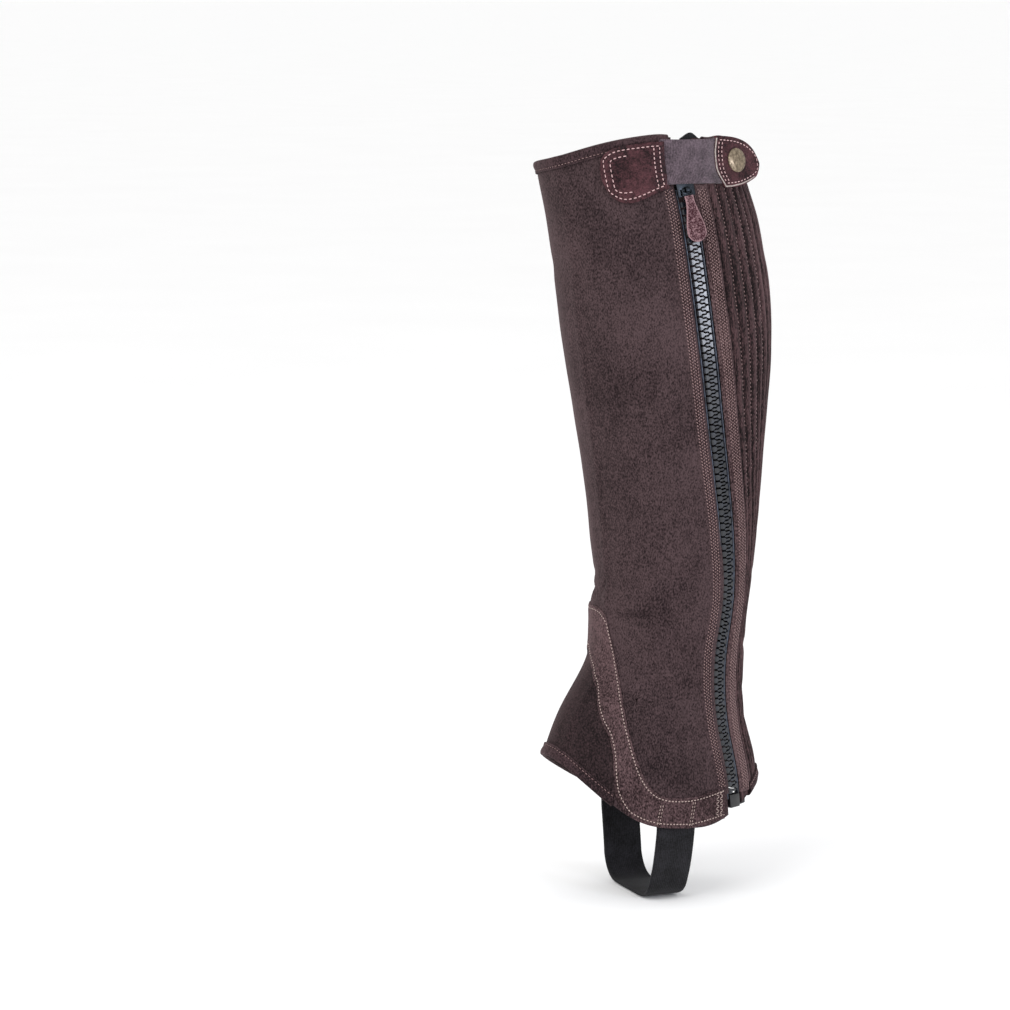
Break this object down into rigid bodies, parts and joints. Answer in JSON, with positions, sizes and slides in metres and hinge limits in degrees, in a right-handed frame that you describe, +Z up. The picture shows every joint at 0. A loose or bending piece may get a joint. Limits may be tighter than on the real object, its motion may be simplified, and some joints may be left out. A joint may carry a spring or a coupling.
{
  "type": "riding half chap",
  "caption": "Worn suede riding half chap: a hollow leg sleeve with an outside zip, a ribbed stretch gusset, a snap closure at the top and a strap under the foot.",
  "frame": {"origin": "middle of the leg hollow at the calf, where the wearer's leg holds the chap up", "axes": "+Z up the leg; -Y is the shin and the way the wearer faces; +X is the outside of the left leg, where the zip is"},
  "size_m": [0.1511, 0.1666, 0.4967],
  "materials": {
    "suede": "napped dark brown suede",
    "dark_suede": "darker napped suede of the gussets and patch",
    "pale_suede": "lighter brown suede of the bindings and strips",
    "tab_leather": "smooth red-brown leather with raw edges",
    "elastic": "woven elastic",
    "strap_web": "ribbed black elastic webbing",
    "zip_tape": "woven black tape",
    "zip_teeth": "moulded black teeth",
    "snap_brass": "antique brass",
    "zip_metal": "dark nickel plate"
  },
  "bodies": {
    "chap": {"main_panel": "suede", "instep_gusset": "dark_suede", "rib_gusset": "dark_suede", "strip_outer": "pale_suede", "strip_inner": "pale_suede", "grip_patch": "dark_suede", "zip_facing": "suede", "zip_strip": "pale_suede", "seam_strip": "pale_suede", "top_binding": "pale_suede", "top_binding_back": "pale_suede", "hem_binding_instep": "pale_suede", "hem_binding_inner": "pale_suede", "hem_binding_back": "pale_suede", "closure_tab": "tab_leather", "closure_elastic": "elastic", "snap_tab": "tab_leather", "snap_cap": "snap_brass", "snap_socket": "snap_brass", "snap_stud": "snap_brass", "zip_tape_front": "zip_tape", "zip_tape_back": "zip_tape", "zip_chain": "zip_teeth", "zip_box": "zip_teeth", "zip_slider": "zip_metal", "foot_strap": "strap_web"},
    "zip_pull": {"zip_pull_ring": "zip_metal", "zip_pull_tag": "tab_leather"}
  },
  "joints": [
    {"name": "pull_hinge", "type": "hinge", "parent": "chap", "child": "zip_pull", "pos_m": [0.05674, -0.01087, 0.10451], "axis": [0.0564, -0.9855, -0.1603], "range_deg": [0, 150]}
  ]
}
